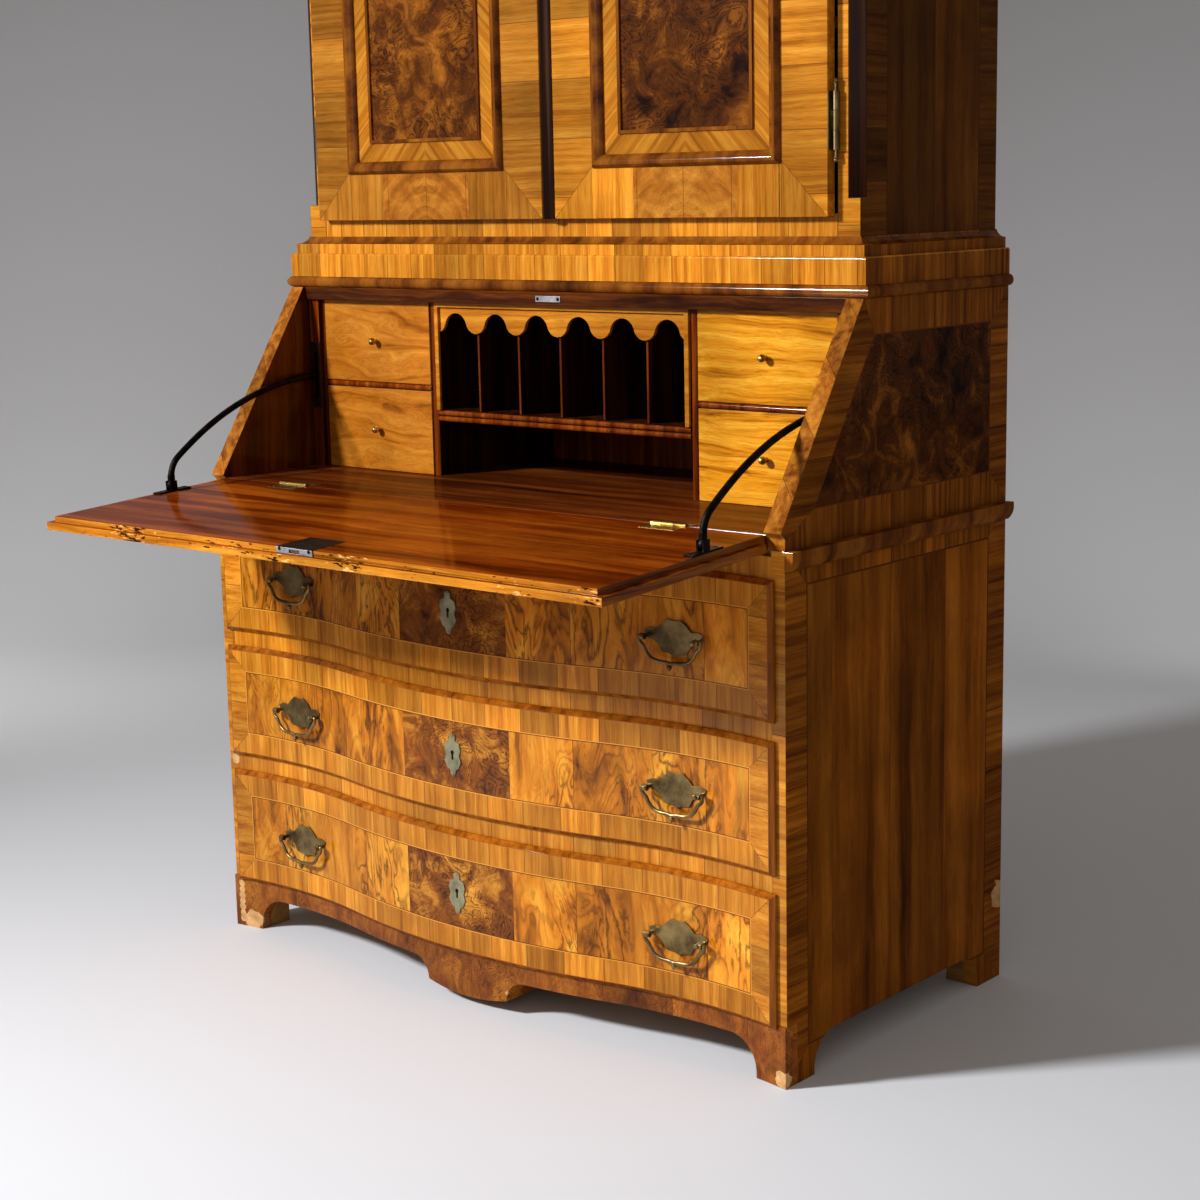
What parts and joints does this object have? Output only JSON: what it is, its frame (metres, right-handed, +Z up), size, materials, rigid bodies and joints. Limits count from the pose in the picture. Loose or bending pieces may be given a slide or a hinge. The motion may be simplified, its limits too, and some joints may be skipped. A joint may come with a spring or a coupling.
{
  "type": "escritoire",
  "caption": "Walnut escritoire: serpentine drawer chest, slant-front desk with its fall let down on curved stays over a gallery of small drawers, and a two-door upper cabinet.",
  "frame": {"origin": "on the floor, below the middle of the whole outline with the fall open", "axes": "+Z up, -Y towards the front (the fall opens that way), +X to the right of a person facing the front"},
  "size_m": [1.166, 0.8878, 2.056],
  "materials": {
    "walnut": "figured walnut veneer, waxed",
    "dark_walnut": "dark walnut moulding, polished",
    "burl": "burl walnut veneer, polished",
    "oak": "plain secondary wood",
    "brass": "aged brass",
    "metal_iron": "dark wrought iron",
    "metal_steel": "worn steel"
  },
  "bodies": {
    "carcass": {"chest_sides": "walnut", "chest_boards": "oak", "chest_apron": "walnut", "foot_blocks": "oak", "drawer_rails": "walnut", "drawer_runners": "oak", "waist_moulding": "dark_walnut", "back_boards": "oak", "desk_sides": "walnut", "desk_boards": "oak", "desk_top_moulding": "dark_walnut", "gallery_carcass": "walnut", "pigeonhole_dividers": "walnut", "pigeonhole_valance": "walnut", "desk_ironwork": "metal_iron", "bed_hinge_leaves": "brass", "cabinet_sides": "walnut", "cabinet_boards": "oak", "cabinet_base_moulding": "dark_walnut", "cabinet_cornice": "dark_walnut", "cabinet_hinge_leaves": "brass"},
    "fall": {"fall_board": "walnut", "fall_lock": "metal_iron", "fall_hinge_leaves": "brass", "stay_brackets": "metal_iron"},
    "fall_bolt": {"fall_lock_bolt": "metal_steel"},
    "stay_left": {"stay_left": "metal_iron"},
    "stay_right": {"stay_right": "metal_iron"},
    "door_left": {"door_left_frame": "walnut", "door_left_panel": "burl", "door_left_mouldings": "dark_walnut", "door_left_hinge_leaves": "brass"},
    "door_right": {"door_right_frame": "walnut", "door_right_panel": "burl", "door_right_mouldings": "dark_walnut", "door_right_hinge_leaves": "brass", "door_astragal": "dark_walnut"},
    "drawer_upper": {"drawer_upper_front": "walnut", "drawer_upper_box": "oak", "drawer_upper_brasses": "brass"},
    "bail_upper_left": {"drawer_upper_bail_left": "brass"},
    "bail_upper_right": {"drawer_upper_bail_right": "brass"},
    "drawer_middle": {"drawer_middle_front": "walnut", "drawer_middle_box": "oak", "drawer_middle_brasses": "brass"},
    "bail_middle_left": {"drawer_middle_bail_left": "brass"},
    "bail_middle_right": {"drawer_middle_bail_right": "brass"},
    "drawer_lower": {"drawer_lower_front": "walnut", "drawer_lower_box": "oak", "drawer_lower_brasses": "brass"},
    "bail_lower_left": {"drawer_lower_bail_left": "brass"},
    "bail_lower_right": {"drawer_lower_bail_right": "brass"},
    "gallery_drawer_left_upper": {"gallery_drawer_left_upper": "walnut", "gallery_drawer_left_upper_knob": "brass"},
    "gallery_drawer_left_lower": {"gallery_drawer_left_lower": "walnut", "gallery_drawer_left_lower_knob": "brass"},
    "gallery_drawer_right_upper": {"gallery_drawer_right_upper": "walnut", "gallery_drawer_right_upper_knob": "brass"},
    "gallery_drawer_right_lower": {"gallery_drawer_right_lower": "walnut", "gallery_drawer_right_lower_knob": "brass"}
  },
  "joints": [
    {"name": "fall_hinge", "type": "hinge", "parent": "carcass", "child": "fall", "pos_m": [0, -0.10607, 0.748], "axis": [1, 0, 0], "range_deg": [-126.3, 0]},
    {"name": "fall_bolt_slide", "type": "slide", "parent": "fall", "child": "fall_bolt", "axis": [0, -0.9981, -0.061], "range_m": [0, 0.005]},
    {"name": "stay_left_pivot", "type": "hinge", "parent": "fall", "child": "stay_left", "pos_m": [-0.5215, -0.22446, 0.75078], "axis": [1, 0, 0], "range_deg": [0, 95]},
    {"name": "stay_right_pivot", "type": "hinge", "parent": "fall", "child": "stay_right", "pos_m": [0.5215, -0.22446, 0.75078], "axis": [1, 0, 0], "range_deg": [0, 95]},
    {"name": "door_left_hinge", "type": "hinge", "parent": "carcass", "child": "door_left", "pos_m": [-0.503, 0.09293, 1.546], "axis": [0, 0, -1], "range_deg": [0, 110]},
    {"name": "door_right_hinge", "type": "hinge", "parent": "carcass", "child": "door_right", "pos_m": [0.503, 0.09293, 1.546], "axis": [0, 0, 1], "range_deg": [0, 110]},
    {"name": "drawer_upper_slide", "type": "slide", "parent": "carcass", "child": "drawer_upper", "axis": [0, -1, 0], "range_m": [0, 0.4]},
    {"name": "bail_upper_left_swing", "type": "hinge", "parent": "drawer_upper", "child": "bail_upper_left", "pos_m": [-0.38064, -0.12035, 0.5955], "axis": [-0.9986, 0.0532, 0], "range_deg": [0, 85]},
    {"name": "bail_upper_right_swing", "type": "hinge", "parent": "drawer_upper", "child": "bail_upper_right", "pos_m": [0.38064, -0.12035, 0.5955], "axis": [-0.9986, -0.0532, 0], "range_deg": [0, 85]},
    {"name": "drawer_middle_slide", "type": "slide", "parent": "carcass", "child": "drawer_middle", "axis": [0, -1, 0], "range_m": [0, 0.4]},
    {"name": "bail_middle_left_swing", "type": "hinge", "parent": "drawer_middle", "child": "bail_middle_left", "pos_m": [-0.38064, -0.12035, 0.385], "axis": [-0.9986, 0.0532, 0], "range_deg": [0, 85]},
    {"name": "bail_middle_right_swing", "type": "hinge", "parent": "drawer_middle", "child": "bail_middle_right", "pos_m": [0.38064, -0.12035, 0.385], "axis": [-0.9986, -0.0532, 0], "range_deg": [0, 85]},
    {"name": "drawer_lower_slide", "type": "slide", "parent": "carcass", "child": "drawer_lower", "axis": [0, -1, 0], "range_m": [0, 0.4]},
    {"name": "bail_lower_left_swing", "type": "hinge", "parent": "drawer_lower", "child": "bail_lower_left", "pos_m": [-0.38064, -0.12035, 0.1755], "axis": [-0.9986, 0.0532, 0], "range_deg": [0, 85]},
    {"name": "bail_lower_right_swing", "type": "hinge", "parent": "drawer_lower", "child": "bail_lower_right", "pos_m": [0.38064, -0.12035, 0.1755], "axis": [-0.9986, -0.0532, 0], "range_deg": [0, 85]},
    {"name": "gallery_drawer_left_upper_slide", "type": "slide", "parent": "carcass", "child": "gallery_drawer_left_upper", "axis": [0, -1, 0], "range_m": [0, 0.2]},
    {"name": "gallery_drawer_left_lower_slide", "type": "slide", "parent": "carcass", "child": "gallery_drawer_left_lower", "axis": [0, -1, 0], "range_m": [0, 0.15]},
    {"name": "gallery_drawer_right_upper_slide", "type": "slide", "parent": "carcass", "child": "gallery_drawer_right_upper", "axis": [0, -1, 0], "range_m": [0, 0.2]},
    {"name": "gallery_drawer_right_lower_slide", "type": "slide", "parent": "carcass", "child": "gallery_drawer_right_lower", "axis": [0, -1, 0], "range_m": [0, 0.15]}
  ],
  "couplings": [
    {"joint": "stay_left_pivot", "follows": "fall_hinge", "ratio": -0.75},
    {"joint": "stay_right_pivot", "follows": "fall_hinge", "ratio": -0.75}
  ]
}
